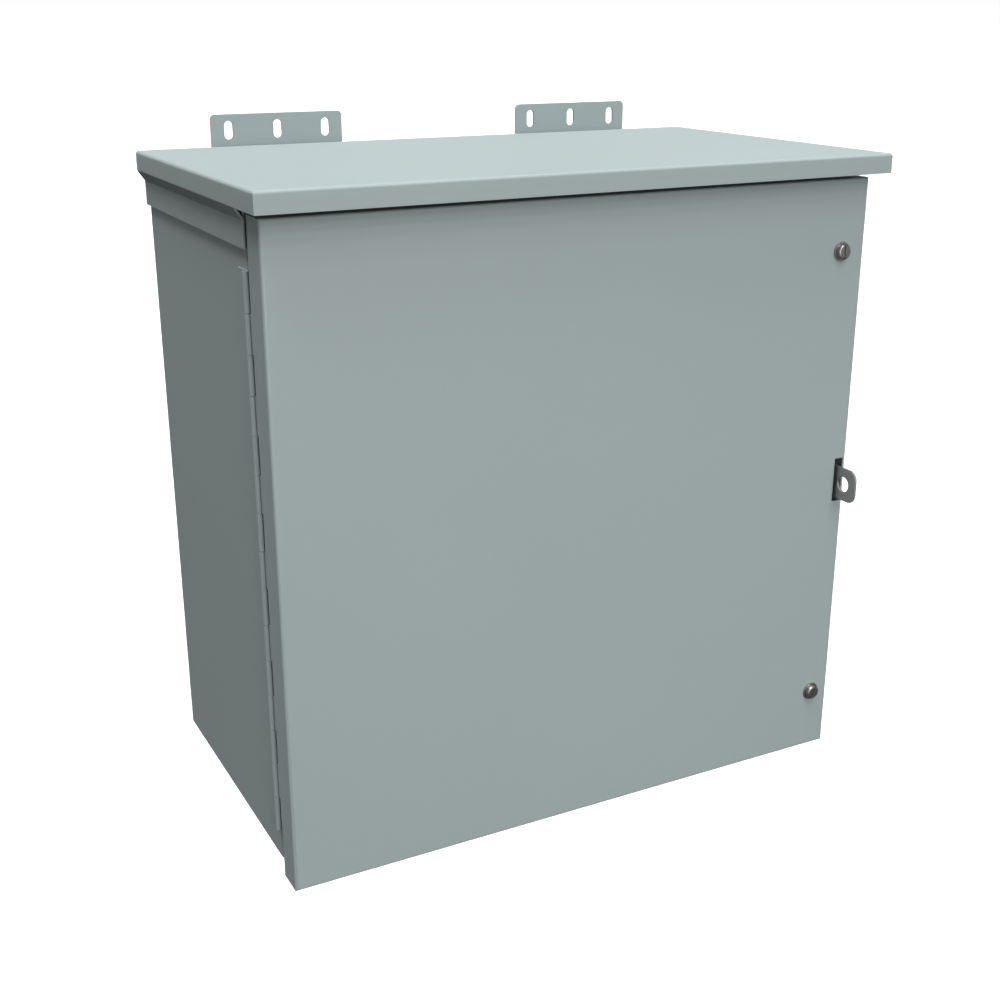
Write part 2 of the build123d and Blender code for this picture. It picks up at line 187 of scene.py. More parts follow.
def blend_colours(start, mask, low, high):
    """One colour where the mask is 0, the other where it is 1."""
    return start.node("ShaderNodeMix", {0: mask, 6: low, 7: high}, out=2, data_type="RGBA")


# %% [markdown]
# ## Sky
#
# The sky is a colour ramp over height: dim below, white at the horizon so that the floor
# runs into it without an edge, and grey overhead. Height runs from 0 straight down to 1
# straight up. A flat white sky would be simpler, but it would light the hood's underside
# from below and take away its depth.

# %% Sky
SKY_BELOW = 0.06
SKY_ABOVE = 0.20
SKY_HORIZON = 1.0
HORIZON_BOTTOM = 0.48
HORIZON_FADE = 0.61

world = bpy.data.worlds.new("studio_sky")
bpy.context.scene.world = world
world.use_nodes = True
sky = Wire(world.node_tree)
world.node_tree.nodes.clear()
direction = sky.node("ShaderNodeTexCoord")
height = sky.node("ShaderNodeSeparateXYZ", {0: direction}, out=2)
level = sky.node("ShaderNodeValToRGB", {0: height * 0.5 + 0.5}, stops=(
    (HORIZON_BOTTOM - 0.01, SKY_BELOW), (HORIZON_BOTTOM, SKY_HORIZON),
    (0.5, SKY_HORIZON), (HORIZON_FADE, SKY_ABOVE)))
background = sky.node("ShaderNodeBackground", {"Color": level, "Strength": 1.0})
sky.node("ShaderNodeOutputWorld", {"Surface": background})

# %% [markdown]
# ## Floor
#
# A cabinet like this hangs at chest height, so the pale floor lies well below it. The
# floor shows to the camera but doesn't bounce light back, as if a black card lay over it
# just out of the picture. The underside of the hood then stays dark.

# %% Floor
FLOOR_DROP = 1.5
FLOOR_SIZE = 300.0

bpy.ops.mesh.primitive_plane_add(size=FLOOR_SIZE, location=(0, 0, -FLOOR_DROP))
floor = bpy.context.object
floor.name = "floor"
floor.visible_diffuse = False
floor.visible_glossy = False
floor_paint = bpy.data.materials.new("pale_floor")
floor_paint.use_nodes = True
floor_paint.node_tree.nodes.clear()
ground = Wire(floor_paint.node_tree)
floor_place = ground.node("ShaderNodeTexCoord", out=3)
floor_cloud = ground.node("ShaderNodeTexNoise", {"Vector": floor_place, "Scale": 0.8, "Detail": 3.0})
floor_colour = blend_colours(ground, floor_cloud, (0.82, 0.82, 0.82, 1), (0.86, 0.86, 0.86, 1))
floor_shader = ground.node("ShaderNodeBsdfPrincipled", {"Base Color": floor_colour, "Roughness": 0.9})
ground.node("ShaderNodeOutputMaterial", {"Surface": floor_shader})
floor.data.materials.append(floor_paint)

# %% [markdown]
# ## Finishes
#
# **Powder coat.** Dry paint powder is baked until it flows. It never flows quite flat:
# a shallow orange peel stays, about 2 mm from crest to crest, and the gloss is a little
# uneven from spot to spot. Orange peel is a bump, because it is far too shallow to
# show at an outline. Two noises of different scale make it. Two more, one broad and one
# fine, shift the colour by a percent or two, as a batch of powder does, and a few
# Voronoi dots stand for dust that was baked in.

# %% Powder coat
def new_material(name):
    """An empty material and the wire that builds it."""
    material = bpy.data.materials.new(name)
    material.use_nodes = True
    material.node_tree.nodes.clear()
    return material, Wire(material.node_tree)


def powder_coat(name, colour, peel=1.0):
    """Baked powder paint with orange peel, a faint cloudiness and fine dust nibs."""
    material, wire = new_material(name)
    place = wire.node("ShaderNodeTexCoord", out=3)
    peel_coarse = wire.node("ShaderNodeTexNoise", {"Vector": place, "Scale": 480.0, "Detail": 1.0})
    peel_fine = wire.node("ShaderNodeTexNoise", {"Vector": place, "Scale": 1500.0, "Detail": 2.0})
    cloud = wire.node("ShaderNodeTexNoise", {"Vector": place, "Scale": 7.0, "Detail": 4.0})
    speckle = wire.node("ShaderNodeTexNoise", {"Vector": place, "Scale": 2600.0, "Detail": 2.0})
    nib_distance = wire.node("ShaderNodeTexVoronoi", {"Vector": place, "Scale": 55.0}, feature="F1")
    nibs = wire.node("ShaderNodeMapRange", {0: nib_distance, 1: 0.0, 2: 0.045, 3: 1.0, 4: 0.0})
    height_map = peel_coarse * 0.6 + peel_fine * 0.25 + nibs * 0.5
    dark = tuple(0.975 * c for c in colour) + (1,)
    light = tuple(min(1.025 * c, 1) for c in colour) + (1,)
    tone = cloud * 0.7 + speckle * 0.3
    paint = blend_colours(wire, tone, dark, light)
    rough = 0.40 + cloud * 0.06 + speckle * 0.05
    bump = wire.node("ShaderNodeBump", {"Strength": 0.10 * peel, "Distance": 0.0002, "Height": height_map})
    shader = wire.node("ShaderNodeBsdfPrincipled", {
        "Base Color": paint, "Roughness": rough, "Normal": bump, "Specular IOR Level": 0.32,
    })
    wire.node("ShaderNodeOutputMaterial", {"Surface": shader})
    return material


grey_paint = powder_coat("grey_powder_coat", (0.292, 0.343, 0.345))
white_paint = powder_coat("white_powder_coat", (0.76, 0.76, 0.74))

# %% [markdown]
# **Zinc plate.** The staple and the small hardware are dipped or barrel-plated. The zinc
# dulls to a warm grey with faint patches where it froze first, and the rolling marks
# of the sheet show through along one direction. A stretched noise gives the rolling
# marks, and Voronoi cells give the patches.

# %% Plated steel
def plated_steel(name, colour, roughness, stretch=(1, 1, 1), grain=0.2):
    """Zinc-plated steel: patches, rolling marks and a fine tooth."""
    material, wire = new_material(name)
    place = wire.node("ShaderNodeTexCoord", out=3)
    along = wire.node("ShaderNodeMapping", {"Vector": place, "Scale": stretch})
    marks = wire.node("ShaderNodeTexNoise", {"Vector": along, "Scale": 900.0, "Detail": 3.0})
    patches = wire.node("ShaderNodeTexVoronoi", {"Vector": place, "Scale": 260.0}, out=1)
    patch_level = wire.node("ShaderNodeSeparateColor", {0: patches})
    smudge = wire.node("ShaderNodeTexNoise", {"Vector": place, "Scale": 60.0, "Detail": 4.0})
    tone = marks * 0.45 + patch_level * 0.2 + smudge * 0.35
    dark = tuple(0.82 * c for c in colour) + (1,)
    light = tuple(min(1.18 * c, 1) for c in colour) + (1,)
    plating = blend_colours(wire, tone, dark, light)
    rough = roughness - 0.06 + smudge * 0.09 + marks * 0.06
    bump = wire.node("ShaderNodeBump", {"Strength": grain, "Distance": 0.00005, "Height": marks})
    shader = wire.node("ShaderNodeBsdfPrincipled", {
        "Base Color": plating, "Metallic": 1.0, "Roughness": rough, "Normal": bump,
    })
    wire.node("ShaderNodeOutputMaterial", {"Surface": shader})
    return material


staple_zinc = plated_steel("staple_zinc", (0.42, 0.41, 0.40), 0.5, stretch=(1, 0.06, 1))
hardware_zinc = plated_steel("hardware_zinc", (0.52, 0.51, 0.49), 0.38)

# %% [markdown]
# **Turned steel.** A screw head is faced on a lathe, so its marks are rings round the
# screw's own axis. A Mapping node moves the pattern's centre onto that axis, which is
# why each screw has a material of its own. The rings end at the head's side, where the
# distance from the axis stops changing.

# %% Turned steel
def turned_steel(name, x, z):
    """Bright steel with lathe rings round an axis that runs front to back through x, z."""
    material, wire = new_material(name)
    place = wire.node("ShaderNodeTexCoord", out=3)
    centred = wire.node("ShaderNodeMapping", {"Vector": place, "Location": (-x, 0, -z)})
    flat = wire.node("ShaderNodeVectorMath", {0: centred, 1: (1, 0, 1)}, operation="MULTIPLY")
    radius = wire.node("ShaderNodeVectorMath", {0: flat}, out=1, operation="LENGTH")
    rings = wire.math("SINE", radius * (2 * pi / (0.28 * MM)), 0)
    blotch = wire.node("ShaderNodeTexNoise", {"Vector": place, "Scale": 420.0, "Detail": 4.0})
    dark = (0.25, 0.24, 0.238, 1)
    light = (0.40, 0.388, 0.382, 1)
    colour = blend_colours(wire, blotch * 0.8 + rings * 0.1 + 0.1, dark, light)
    rough = 0.30 + blotch * 0.16
    bump = wire.node("ShaderNodeBump", {"Strength": 0.25, "Distance": 0.00002,
                                        "Height": rings * 0.5 + blotch * 0.6})
    shader = wire.node("ShaderNodeBsdfPrincipled", {
        "Base Color": colour, "Metallic": 1.0, "Roughness": rough, "Normal": bump,
    })
    wire.node("ShaderNodeOutputMaterial", {"Surface": shader})
    return material


# %% [markdown]
# ## Modelling by hand, in code
#
# These helpers do what the hands do in the viewport: select one object, pick the faces,
# edges or corners that matter by their place, and run one tool on them.

# %% Selecting
NEAR = 0.02 * MM


def near(a, b):
    """Whether two lengths are the same, but for rounding."""
    return abs(a - b) < NEAR


def only(piece):
    """Deselects everything else and makes piece active."""
    if bpy.context.mode != "OBJECT":
        bpy.ops.object.mode_set(mode="OBJECT")
    bpy.ops.object.select_all(action="DESELECT")
    piece.select_set(True)
    bpy.context.view_layer.objects.active = piece
    return piece


def middle(item):
    """The middle of a face, an edge or a corner."""
    if hasattr(item, "calc_center_median"):
        return item.calc_center_median()
    if hasattr(item, "verts"):
        return (item.verts[0].co + item.verts[1].co) / 2
    return item.co


def run_of(edge):
    """An edge's direction."""
    return (edge.verts[1].co - edge.verts[0].co).normalized()


def pick(piece, kind, test):
    """Opens piece in edit mode with just the faces, edges or corners that pass the test selected."""
    if bpy.context.mode != "EDIT_MESH":
        only(piece)
        bpy.ops.object.mode_set(mode="EDIT")
    bpy.ops.mesh.select_mode(type=kind)
    bpy.ops.mesh.select_all(action="DESELECT")
    shape = bmesh.from_edit_mesh(piece.data)
    items = {"FACE": shape.faces, "EDGE": shape.edges, "VERT": shape.verts}[kind]
    shape.normal_update()
    found = [item for item in items if test(item)]
    for item in found:
        item.select_set(True)
    bmesh.update_edit_mesh(piece.data)
    return len(found)


def box_blank(name, low, high):
    """A box between two corners, with its place in its mesh."""
    low, high = Vector(low), Vector(high)
    bpy.ops.object.select_all(action="DESELECT")
    bpy.ops.mesh.primitive_cube_add(size=1, location=(low + high) / 2)
    blank = bpy.context.object
    blank.name = name
    blank.scale = high - low
    return settle(blank)


def settle(piece):
    """Moves an object's place, turn and size into its mesh."""
    only(piece)
    bpy.ops.object.transform_apply(location=True, rotation=True, scale=True)
    return piece


def done(piece):
    """Leaves edit mode."""
    bpy.ops.object.mode_set(mode="OBJECT")
    return piece


def apply(piece, kind, **settings):
    """Adds a modifier with these settings and applies it."""
    only(piece)
    modifier = piece.modifiers.new(kind.lower(), kind)
    for key, value in settings.items():
        setattr(modifier, key, value)
    bpy.ops.object.modifier_apply(modifier=modifier.name)
    return piece


def fold(radius, segments=6, corner=pi / 2):
    """Rounds the selected edges as a press brake does; corner is the angle that the sheet turns."""
    bpy.ops.mesh.bevel(offset=radius * tan(corner / 2), segments=segments, affect="EDGES")


def slice_at(piece, place, normal):
    """Cuts a line of edges right through the piece."""
    pick(piece, "FACE", lambda face: True)
    bpy.ops.mesh.bisect(plane_co=place, plane_no=normal)


def thicken(piece, thickness):
    """Gives the sheet its wall, inwards from the face that was modelled."""
    return apply(piece, "SOLIDIFY", thickness=thickness, offset=-1, use_even_offset=True)


def cut(piece, cutter):
    """Takes the cutter's shape out of piece and throws the cutter away."""
    apply(piece, "BOOLEAN", operation="DIFFERENCE", solver="EXACT", object=cutter)
    bpy.data.objects.remove(cutter)
    return piece


def punch(name, x, y0, y1, z, radius, sides=48):
    """A round punch, or a round blank, that runs front to back."""
    bpy.ops.object.select_all(action="DESELECT")
    bpy.ops.mesh.primitive_cylinder_add(vertices=sides, radius=radius, depth=y1 - y0,
                                        location=(x, (y0 + y1) / 2, z), rotation=(pi / 2, 0, 0))
    tool = bpy.context.object
    tool.name = name
    return settle(tool)


# %% [markdown]
# A piece is finished by breaking its sharp cut edges and shading it. Even a deburred
# edge has a tiny round that catches light, and without it metal looks like cardboard.
# Shading is smooth across the folds and hard across cut edges, and weighted normals
# keep the large flats flat.

# %% Finishing
DEBURR = 0.22 * MM
THICK_DEBURR = 0.35 * MM         # on plate that is thicker than the body's sheet
FINE_DEBURR = 0.12 * MM          # on the hinge leaves and the small hardware
DEBURR_ANGLE = radians(50)       # edges that turn more than this are cut edges
SMOOTH_ANGLE = radians(40)


def finish(piece, body, slot, material, *nodes, deburr=DEBURR, steps=2):
    """Breaks the cut edges, shades, paints, and hangs the piece on its body."""
    if bpy.context.mode != "OBJECT":
        done(piece)
    apply(piece, "WELD", merge_threshold=0.004 * MM)
    if deburr:
        apply(piece, "BEVEL", width=deburr, segments=steps, limit_method="ANGLE",
              angle_limit=DEBURR_ANGLE, use_clamp_overlap=False, miter_outer="MITER_ARC")
    only(piece)
    bpy.ops.object.shade_smooth_by_angle(angle=SMOOTH_ANGLE)
    apply(piece, "WEIGHTED_NORMAL", keep_sharp=True, weight=80)
    piece.data.materials.clear()
    piece.data.materials.append(material)
    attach(piece, body)
    if nodes:
        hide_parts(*nodes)
    report(piece, *nodes)


def report(piece, *nodes):
    """Prints how far a piece's box is from the box of the nodes that it stands for, in millimetres."""
    corners = [Vector(corner) for corner in piece.bound_box]
    low = [min(corner[axis] for corner in corners) for axis in range(3)]
    high = [max(corner[axis] for corner in corners) for axis in range(3)]
    line = f"{piece.name}: {len(piece.data.polygons)} faces"
    if nodes:
        boxes = [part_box(node) for node in nodes]
        for word, mine, pick_end, end in (("low", low, min, 0), ("high", high, max, 1)):
            off = [(mine[axis] - pick_end(box[end][axis] for box in boxes)) / MM for axis in range(3)]
            line += f", {word} corner off by " + " ".join(f"{value:.2f}" for value in off)
    print(line)


# %% [markdown]
# ## Drip shield
#
# The hood is one blank: a flat top with skirts, and on each side a slope that runs back
# in under the skirt and a band that lies on the body. A box gives the top and skirts.
# The slope and band begin just ahead of the body's front, so a cut line is sliced in
# there first, and the skirt's lower edge behind it is extruded twice. Building it from
# a plane would also work, but the box gives square skirts at once.

# %% Drip shield
BEND = 3.0 * MM
HOOD_SKIRT = 18.8 * MM
HOOD_BACK_SKIRT = 6.9 * MM
SLOPE_DROP = 10.1 * MM
BAND_AHEAD = 3.8 * MM

hood_low, hood_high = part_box("drip_shield")
body_low, body_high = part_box("body_wrap")
top_low, top_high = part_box("top_plate")
SHEET = top_high.z - body_high.z
skirt_bottom = hood_high.z - HOOD_SKIRT
band_front = body_low.y - BAND_AHEAD
band_x = top_high.x + SHEET

hood = box_blank("rain_hood", (hood_low.x, hood_low.y, skirt_bottom), hood_high)
slice_at(hood, (0, 0, hood_high.z - HOOD_BACK_SKIRT), (0, 0, 1))
slice_at(hood, (0, band_front, 0), (0, 1, 0))
pick(hood, "FACE", lambda f: f.normal.z < -0.5
     or (f.normal.y > 0.5 and middle(f).z < hood_high.z - HOOD_BACK_SKIRT))
bpy.ops.mesh.delete(type="FACE")
for side in (-1, 1):
    run_in = (side * (band_x - hood_high.x), 0, -SLOPE_DROP)
    pick(hood, "EDGE", lambda e: near(middle(e).z, skirt_bottom) and middle(e).y > band_front
         and near(middle(e).x, side * hood_high.x))
    bpy.ops.mesh.extrude_region_move(TRANSFORM_OT_translate={"value": run_in})
    band_drop = hood_low.z - (skirt_bottom - SLOPE_DROP)
    bpy.ops.mesh.extrude_region_move(TRANSFORM_OT_translate={"value": (0, 0, band_drop)})
slope_turn = atan2(hood_high.x - band_x, SLOPE_DROP)
pick(hood, "EDGE", lambda e: near(middle(e).z, skirt_bottom) and middle(e).y > band_front
     and abs(run_of(e).y) > 0.9)
fold(BEND, corner=slope_turn)
pick(hood, "EDGE", lambda e: near(middle(e).z, skirt_bottom - SLOPE_DROP) and abs(run_of(e).y) > 0.9)
fold(BEND - SHEET, corner=slope_turn)
pick(hood, "EDGE", lambda e: near(middle(e).z, hood_high.z) and (
    near(abs(middle(e).x), hood_high.x) or near(middle(e).y, hood_low.y) or near(middle(e).y, hood_high.y)))
fold(BEND)
done(hood)
thicken(hood, SHEET)
finish(hood, "cabinet", "body_paint", grey_paint, "drip_shield")

# %% [markdown]
# ## Body
#
# One long blank wraps round the back and both sides and turns in at the front. The top
# and bottom plates are separate: the top laps over the outside so that rain can't run
# in, and the bottom sits inside. Each is built from its own box.

# %% Body wrap
FRONT_FLANGE = 12.0 * MM

lip_low, lip_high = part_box("opening_frame")
wrap = box_blank("body_shell", body_low, (body_high.x, body_high.y, body_high.z - (BEND - SHEET)))
pick(wrap, "FACE", lambda f: abs(f.normal.z) > 0.5 or f.normal.y < -0.5)
bpy.ops.mesh.delete(type="FACE")
for side in (-1, 1):
    pick(wrap, "EDGE", lambda e: near(middle(e).x, side * body_high.x) and near(middle(e).y, body_low.y))
    bpy.ops.mesh.extrude_region_move(TRANSFORM_OT_translate={"value": (-side * FRONT_FLANGE, 0, 0)})
pick(wrap, "EDGE", lambda e: abs(run_of(e).z) > 0.9 and near(abs(middle(e).x), body_high.x))
fold(BEND)
done(wrap)
thicken(wrap, SHEET)
finish(wrap, "cabinet", "body_paint", grey_paint, "body_wrap")

# %% [markdown]
# The top is a box cut down to three faces: the flat and two laps. Only the stretch
# between the rain lip's sides is pulled down at the front, as the head flange.

# %% Top plate
top = box_blank("top_sheet", top_low, top_high)
slice_at(top, (lip_low.x, 0, 0), (1, 0, 0))
slice_at(top, (lip_high.x, 0, 0), (1, 0, 0))
pick(top, "FACE", lambda f: f.normal.z < -0.5 or abs(f.normal.y) > 0.5)
bpy.ops.mesh.delete(type="FACE")
pick(top, "EDGE", lambda e: near(middle(e).y, top_low.y) and near(middle(e).z, top_high.z)
     and near(middle(e).x, 0))
bpy.ops.mesh.extrude_region_move(TRANSFORM_OT_translate={"value": (0, 0, lip_high.z - top_high.z)})
pick(top, "EDGE", lambda e: near(middle(e).z, top_high.z) and (
    near(abs(middle(e).x), top_high.x) or (near(middle(e).y, top_low.y) and near(middle(e).x, 0))))
fold(BEND)
done(top)
thicken(top, SHEET)
finish(top, "cabinet", "body_paint", grey_paint, "top_plate")

# %% [markdown]
# The bottom is a tray whose side laps stop short of the body's corners, so that no fold
# meets another. Two drain holes near the front corners are punched last.

# %% Bottom plate
DRAIN_RADIUS = 3.2 * MM
DRAIN_SETBACK = 50.0 * MM
SIDE_LAP = 18.0 * MM
CORNER_RELIEF = 1.5 * MM

bottom_low, bottom_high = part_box("bottom_plate")
tray = box_blank("bottom_sheet", bottom_low, (bottom_high.x, bottom_high.y, bottom_low.z + SIDE_LAP))
for x in (lip_low.x, lip_high.x):
    slice_at(tray, (x, 0, 0), (1, 0, 0))
lap_front = bottom_low.y + SHEET + CORNER_RELIEF
lap_back = bottom_high.y - CORNER_RELIEF
for y in (lap_front, lap_back):
    slice_at(tray, (0, y, 0), (0, 1, 0))
slice_at(tray, (0, 0, lip_low.z), (0, 0, 1))
pick(tray, "FACE", lambda f: f.normal.z > 0.5 or f.normal.y > 0.5
     or (f.normal.y < -0.5 and middle(f).z > lip_low.z)
     or (abs(middle(f).x) > lip_high.x and not lap_front < middle(f).y < lap_back))
bpy.ops.mesh.delete(type="FACE")
pick(tray, "EDGE", lambda e: near(middle(e).z, bottom_low.z) and (
    (near(abs(middle(e).x), bottom_high.x) and lap_front < middle(e).y < lap_back)
    or (near(middle(e).y, bottom_low.y) and abs(middle(e).x) < lip_high.x)))
fold(BEND)
done(tray)
thicken(tray, SHEET)
for side in (-1, 1):
    bpy.ops.object.select_all(action="DESELECT")
    bpy.ops.mesh.primitive_cylinder_add(vertices=32, radius=DRAIN_RADIUS, depth=6 * SHEET, location=(
        side * (body_high.x - DRAIN_SETBACK), body_low.y + DRAIN_SETBACK, bottom_low.z))
    cut(tray, settle(bpy.context.object))
finish(tray, "cabinet", "body_paint", grey_paint, "bottom_plate")

# %% [markdown]
# ## Opening frame
#
# A rain lip stands round the opening and turns in at its front edge, and the return
# carries the nuts for the cover screws. A box loses its back, its front is inset by the
# width of the return, and the middle is deleted.

# %% Opening frame
RETURN_WIDTH = 24.0 * MM
SCREW_HOLE = 3.55 * MM

lip = box_blank("rain_lip", lip_low, lip_high)
pick(lip, "FACE", lambda f: f.normal.y > 0.5)
bpy.ops.mesh.delete(type="FACE")
pick(lip, "FACE", lambda f: f.normal.y < -0.5)
bpy.ops.mesh.inset(thickness=RETURN_WIDTH)
bpy.ops.mesh.delete(type="FACE")
pick(lip, "EDGE", lambda e: near(middle(e).y, lip_low.y) and (
    near(abs(middle(e).x), lip_high.x) or near(middle(e).z, lip_low.z) or near(middle(e).z, lip_high.z)))
fold(BEND)
done(lip)
thicken(lip, SHEET)

screw_axes = {}
for level in ("upper", "lower"):
    head_low, head_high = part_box(f"{level}_screw_washer")
    screw_axes[level] = ((head_low.x + head_high.x) / 2, (head_low.z + head_high.z) / 2)
    x, z = screw_axes[level]
    cut(lip, punch("screw_punch", x, lip_low.y - SHEET, lip_low.y + 3 * SHEET, z, SCREW_HOLE))
finish(lip, "cabinet", "body_paint", grey_paint, "opening_frame")

# %% [markdown]
# ## Cover
#
# The cover is a shallow tray. Only its four front edges are folds; the corners between
# flanges are welded and ground square. After the wall is on, the screw holes and the
# staple slot are punched through with boolean cutters, because a punched hole has a
# clean edge right through the sheet.

# %% Cover
SLOT_LEFT = 3.1 * MM
SLOT_RIGHT = 4.7 * MM
SLOT_BELOW = 4.25 * MM
SLOT_ABOVE = 7.85 * MM
STAPLE_THICK = 2.4 * MM

cover_low, cover_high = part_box("door_panel")
staple_low, staple_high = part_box("padlock_staple")
cover = box_blank("cover_sheet", cover_low, cover_high)
pick(cover, "FACE", lambda f: f.normal.y > 0.5)
bpy.ops.mesh.delete(type="FACE")
pick(cover, "EDGE", lambda e: near(middle(e).y, cover_low.y))
fold(BEND, segments=8)
done(cover)
thicken(cover, SHEET)
for x, z in screw_axes.values():
    cut(cover, punch("screw_punch", x, cover_low.y - SHEET, cover_low.y + 3 * SHEET, z, SCREW_HOLE))
cut(cover, box_blank(
    "slot_punch",
    (staple_low.x - SLOT_LEFT, cover_low.y - SHEET, staple_low.z - SLOT_BELOW),
    (staple_low.x + STAPLE_THICK + SLOT_RIGHT, cover_low.y + 3 * SHEET, staple_high.z + SLOT_ABOVE)))
finish(cover, "door", "body_paint", grey_paint, "door_panel")

# %% [markdown]
# ## Mounting feet
#
# Four angle brackets are welded on the back. Two faces of a box are enough for one: the
# standing leg and the leg that is welded down. The fold between them is rounded, and
# the two free corners are rounded with a corner bevel. One foot is modelled; the other
# three are copies, moved across or turned half round the front-to-back axis.

# %% Feet
FOOT_THICK = 2.7 * MM
FOOT_BEND = 4.0 * MM
FOOT_CORNER = 4.5 * MM
FOOT_SLOT_WIDTH = 8.8 * MM
FOOT_SLOT_LENGTH = 17.9 * MM
FOOT_SLOT_PITCH = 50.8 * MM
FOOT_SLOT_DROP = 15.4 * MM

foot_low, foot_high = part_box("top_left_foot")
foot_middle = (foot_low.x + foot_high.x) / 2
foot = box_blank("top_left_bracket", foot_low, foot_high)
pick(foot, "FACE", lambda f: f.normal.y < 0.5 and f.normal.z > -0.5)
bpy.ops.mesh.delete(type="FACE")
pick(foot, "EDGE", lambda e: near(middle(e).y, foot_high.y) and near(middle(e).z, foot_low.z))
fold(FOOT_BEND)
pick(foot, "VERT", lambda v: near(v.co.z, foot_high.z))
bpy.ops.mesh.bevel(offset=FOOT_CORNER, segments=8, affect="VERTICES")
done(foot)
thicken(foot, FOOT_THICK)
for step in (-1, 0, 1):
    slot_x = foot_middle + step * FOOT_SLOT_PITCH
    slot_low = foot_high.z - FOOT_SLOT_DROP - (FOOT_SLOT_LENGTH - FOOT_SLOT_WIDTH) / 2
    tool = punch("slot_punch", slot_x, -3 * FOOT_THICK, FOOT_THICK, slot_low, FOOT_SLOT_WIDTH / 2)
    pick(tool, "VERT", lambda v: v.co.z > slot_low + NEAR)
    bpy.ops.transform.translate(value=(0, 0, FOOT_SLOT_LENGTH - FOOT_SLOT_WIDTH))
    done(tool)
    cut(foot, tool)


def copy_of(piece, name, move=(0, 0, 0), turn=0.0):
    """A copy with its own mesh, turned about the front-to-back axis and then moved."""
    twin = piece.copy()
    twin.data = piece.data.copy()
    twin.name = name
    bpy.context.collection.objects.link(twin)
    twin.matrix_world = Matrix.Translation(move) @ Matrix.Rotation(turn, 4, "Y")
    return settle(twin)


across = (-2 * foot_middle, 0, 0)
brackets = {
    "top_left": foot,
    "top_right": copy_of(foot, "top_right_bracket", across),
    "bottom_right": copy_of(foot, "bottom_right_bracket", turn=pi),
    "bottom_left": copy_of(foot, "bottom_left_bracket", (2 * foot_middle, 0, 0), pi),
}
for corner, bracket in brackets.items():
    finish(bracket, "cabinet", "body_paint", grey_paint, f"{corner}_foot", deburr=THICK_DEBURR)

# %% [markdown]
# Each foot is held by two short welds along its lower leg. A weld bead is a row of
# overlapping drops, so one flattened ball is repeated with an Array modifier. The drops
# are sunk halfway into the corner that they fill.

# %% Weld beads
BEAD_LENGTH = 25.0 * MM
BEAD_STEP = 1.5 * MM
BEAD_SIZE = Vector((1.7, 1.6, 1.4)) * MM
BEAD_STARTS = (-45 * MM, 20 * MM)        # from the foot's middle to each bead's left end


def weld_bead(name, start):
    """A row of drops that runs to the right from start."""
    bpy.ops.object.select_all(action="DESELECT")
    bpy.ops.mesh.primitive_uv_sphere_add(segments=16, ring_count=8, radius=1, location=start)
    bead = bpy.context.object
    bead.name = name
    bead.scale = BEAD_SIZE
    settle(bead)
    return apply(bead, "ARRAY", count=int(BEAD_LENGTH / BEAD_STEP), use_relative_offset=False,
                 use_constant_offset=True, constant_offset_displace=(BEAD_STEP, 0, 0))


for level, side_z in (("top", foot_low.z), ("bottom", -foot_low.z)):
    for side, centre_x in (("left", foot_middle), ("right", -foot_middle)):
        for place, offset in (("outer", BEAD_STARTS[0]), ("inner", BEAD_STARTS[1])):
            bead = weld_bead(f"{level}_{side}_{place}_weld", (centre_x + offset, foot_low.y, side_z))
            finish(bead, "cabinet", "body_paint", grey_paint, deburr=0)

# %% [markdown]
# ## Continuous hinge
#
# A piano hinge is two strips whose edges are cut into tabs and curled round one long
# pin. A plane is sliced at every knuckle, the tabs are extruded up to the pin, and the
# Spin tool curls all of them at once about the pin's axis. The curl stops short of a
# full turn, as it does when it is rolled, which leaves the fine seam seen on a real one.

# %% Hinge leaves
KNUCKLES = 15
KNUCKLE_GAP = 0.4 * MM
LEAF_THICK = 1.2 * MM
LEAF_CUTBACK = 3.2 * MM
JOGGLE_START = 3.3 * MM
JOGGLE_END = 5.6 * MM
CURL = radians(288)
CURL_STEPS = 16

pin_low, pin_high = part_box("hinge_pin")
pin_x, pin_y = (pin_low.x + pin_high.x) / 2, (pin_low.y + pin_high.y) / 2
leaf_low, leaf_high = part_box("hinge_body_leaf")
door_leaf_low, door_leaf_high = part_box("hinge_door_leaf")
knuckle_radius = pin_x - leaf_low.x
hinge_bottom = leaf_low.z - KNUCKLE_GAP / 2
knuckle_pitch = (leaf_high.z + KNUCKLE_GAP / 2 - hinge_bottom) / KNUCKLES


def upright_plane(name, x, y0, y1, z0, z1):
    """A plane that faces right."""
    bpy.ops.object.select_all(action="DESELECT")
    bpy.ops.mesh.primitive_plane_add(size=1, location=(x, (y0 + y1) / 2, (z0 + z1) / 2),
                                     rotation=(0, pi / 2, 0))
    sheet = bpy.context.object
    sheet.name = name
    sheet.scale = (z1 - z0, y1 - y0, 1)
    return settle(sheet)


def in_knuckles(z, first):
    """Whether a height lies in one of every second knuckle, counted from first."""
    index = int((z - hinge_bottom) // knuckle_pitch)
    inside = (z - hinge_bottom) - index * knuckle_pitch
    return index % 2 == first and KNUCKLE_GAP / 2 < inside < knuckle_pitch - KNUCKLE_GAP / 2


